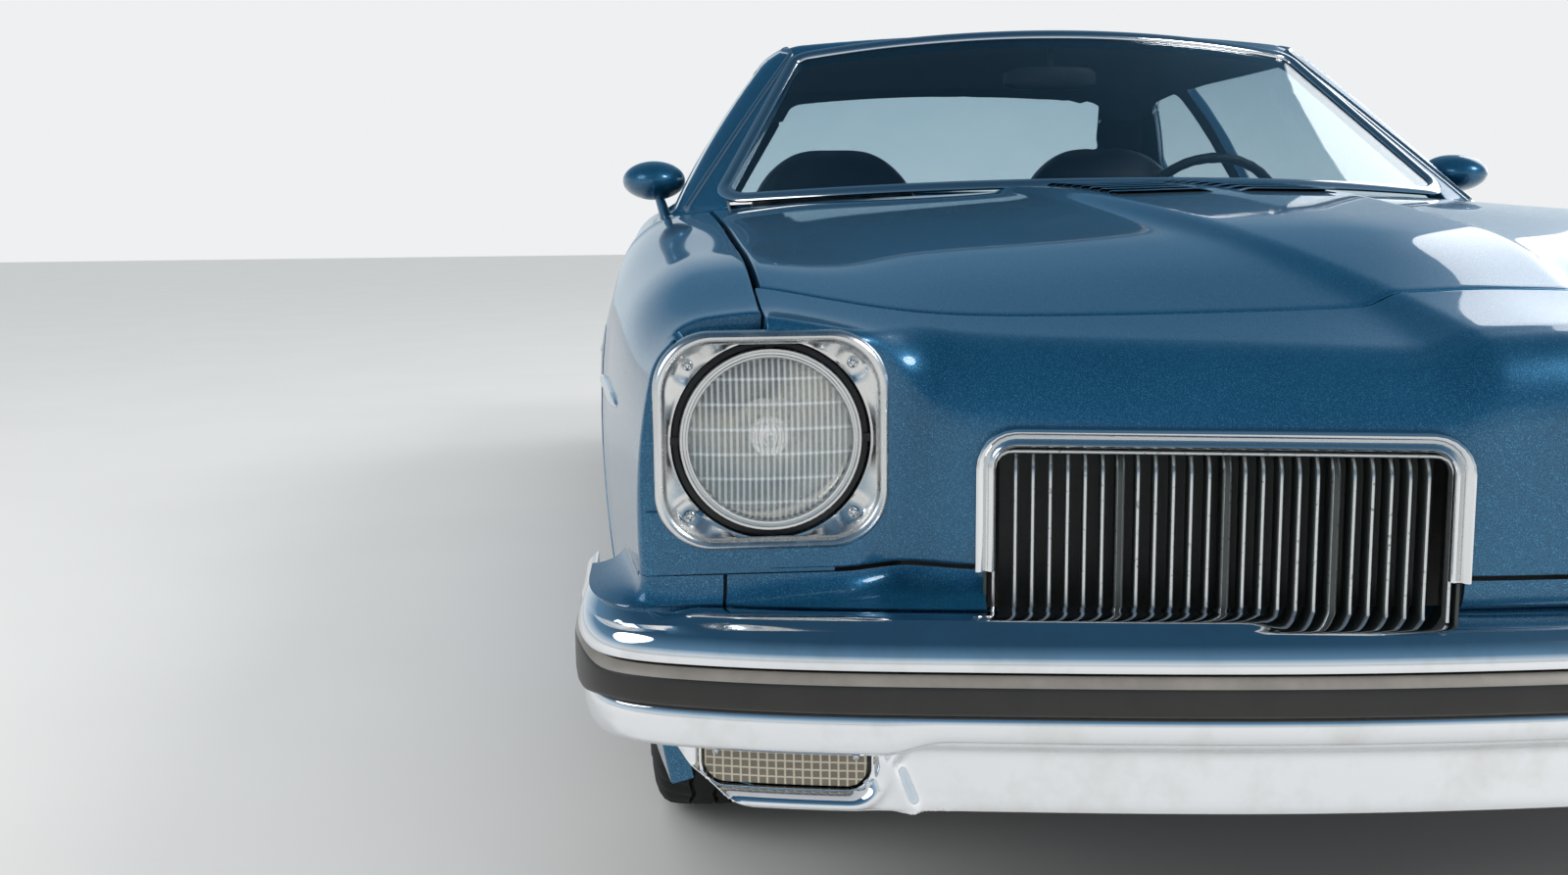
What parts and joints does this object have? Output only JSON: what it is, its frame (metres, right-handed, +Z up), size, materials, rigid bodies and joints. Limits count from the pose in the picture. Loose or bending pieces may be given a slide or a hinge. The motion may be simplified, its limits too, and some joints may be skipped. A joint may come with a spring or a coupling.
{
  "type": "two-door muscle car",
  "caption": "Low two-door hardtop-style muscle car with divided grilles, round headlamps, chrome bumpers, louvred hood, opening doors, hood and boot lid, and steered front wheels.",
  "frame": {"origin": "on the ground, at the middle of the overall length and width", "axes": "+Z up, the car's front faces -Y, +X is the car's left side"},
  "size_m": [1.9778, 5.2698, 1.3436],
  "materials": {
    "body paint": "dark metallic blue enamel under clear lacquer, fine flake",
    "chrome": "polished chrome plate",
    "dark trim": "satin black paint",
    "rubber strip": "smooth black moulded rubber",
    "tinted glass": "clear glass with a green-blue tint",
    "lamp glass": "pressed clear lens glass with flutes",
    "red lens": "red moulded acrylic",
    "frame steel": "semi-gloss black chassis paint",
    "cast iron": "painted rough casting",
    "exhaust steel": "dull aluminised steel tube",
    "interior vinyl": "black grained vinyl with sewn channels",
    "interior plastic": "black grained moulded plastic",
    "tyre rubber": "black tyre rubber, matt tread and satin sidewall",
    "wheel metal": "silver painted spokes with a bright rim"
  },
  "bodies": {
    "body": {"roof": "body paint", "fender_left": "body paint", "fender_right": "body paint", "quarter_left": "body paint", "quarter_right": "body paint", "rear_deck": "body paint", "tail_panel": "body paint", "nose_panel": "body paint", "cowl": "body paint", "grille_frames": "chrome", "grille_inserts": "dark trim", "headlamp_bezels": "chrome", "headlamps": "lamp glass", "windshield": "tinted glass", "rear_window": "tinted glass", "quarter_windows": "tinted glass", "front_bumper": "chrome", "front_rub_strip": "rubber strip", "rear_bumper": "chrome", "rear_rub_strip": "rubber strip", "bumper_fillers": "body paint", "front_valance": "chrome", "turn_lamps": "lamp glass", "rear_valance": "dark trim", "tail_lamps": "red lens", "cabin_floor": "frame steel", "rockers": "body paint", "rear_wheelhouses": "dark trim", "inner_fenders": "dark trim", "frame_rails": "frame steel", "control_arms": "frame steel", "rear_axle": "frame steel", "engine_block": "cast iron", "radiator_support": "dark trim", "exhaust": "exhaust steel", "dashboard": "interior plastic", "front_seats": "interior vinyl", "rear_seat": "interior vinyl"},
    "hood": {"hood": "body paint"},
    "trunk_lid": {"trunk_lid": "body paint"},
    "steering_wheel": {"steering_wheel": "interior plastic"},
    "door_left": {"door_left": "body paint", "door_glass_left": "tinted glass", "mirror_left": "body paint"},
    "knuckle_left": {"knuckle_left": "frame steel"},
    "wheel_front_left": {"tyre_front_left": "tyre rubber", "rim_front_left": "wheel metal"},
    "wheel_rear_left": {"tyre_rear_left": "tyre rubber", "rim_rear_left": "wheel metal"},
    "door_right": {"door_right": "body paint", "door_glass_right": "tinted glass", "mirror_right": "body paint"},
    "knuckle_right": {"knuckle_right": "frame steel"},
    "wheel_front_right": {"tyre_front_right": "tyre rubber", "rim_front_right": "wheel metal"},
    "wheel_rear_right": {"tyre_rear_right": "tyre rubber", "rim_rear_right": "wheel metal"}
  },
  "joints": [
    {"name": "door_left_hinge", "type": "hinge", "parent": "body", "child": "door_left", "pos_m": [0.967, -0.975, 0.58], "axis": [0, 0, -1], "range_deg": [0, 65]},
    {"name": "door_right_hinge", "type": "hinge", "parent": "body", "child": "door_right", "pos_m": [-0.967, -0.975, 0.58], "axis": [0, 0, 1], "range_deg": [0, 65]},
    {"name": "hood_hinge", "type": "hinge", "parent": "body", "child": "hood", "pos_m": [0, -0.945, 0.968], "axis": [-1, 0, 0], "range_deg": [0, 50]},
    {"name": "trunk_hinge", "type": "hinge", "parent": "body", "child": "trunk_lid", "pos_m": [0, 1.458, 0.962], "axis": [1, 0, 0], "range_deg": [0, 60]},
    {"name": "steer_left", "type": "hinge", "parent": "body", "child": "knuckle_left", "pos_m": [0.73, -1.595, 0.34], "axis": [0, 0, 1], "range_deg": [-32, 32]},
    {"name": "steer_right", "type": "hinge", "parent": "body", "child": "knuckle_right", "pos_m": [-0.73, -1.595, 0.34], "axis": [0, 0, 1], "range_deg": [-32, 32]},
    {"name": "steering_wheel_turn", "type": "hinge", "parent": "body", "child": "steering_wheel", "pos_m": [0.4, -0.373, 0.862], "axis": [0, 0.9135, 0.4067], "range_deg": [-512, 512]},
    {"name": "roll_front_left", "type": "hinge", "parent": "knuckle_left", "child": "wheel_front_left", "pos_m": [0.8, -1.595, 0.34], "axis": [1, 0, 0], "continuous": true},
    {"name": "roll_front_right", "type": "hinge", "parent": "knuckle_right", "child": "wheel_front_right", "pos_m": [-0.8, -1.595, 0.34], "axis": [1, 0, 0], "continuous": true},
    {"name": "roll_rear_left", "type": "hinge", "parent": "body", "child": "wheel_rear_left", "pos_m": [0.8, 1.25, 0.34], "axis": [1, 0, 0], "continuous": true},
    {"name": "roll_rear_right", "type": "hinge", "parent": "body", "child": "wheel_rear_right", "pos_m": [-0.8, 1.25, 0.34], "axis": [1, 0, 0], "continuous": true}
  ],
  "couplings": [
    {"joint": "steer_right", "follows": "steer_left", "ratio": 1},
    {"joint": "steering_wheel_turn", "follows": "steer_left", "ratio": 16}
  ]
}
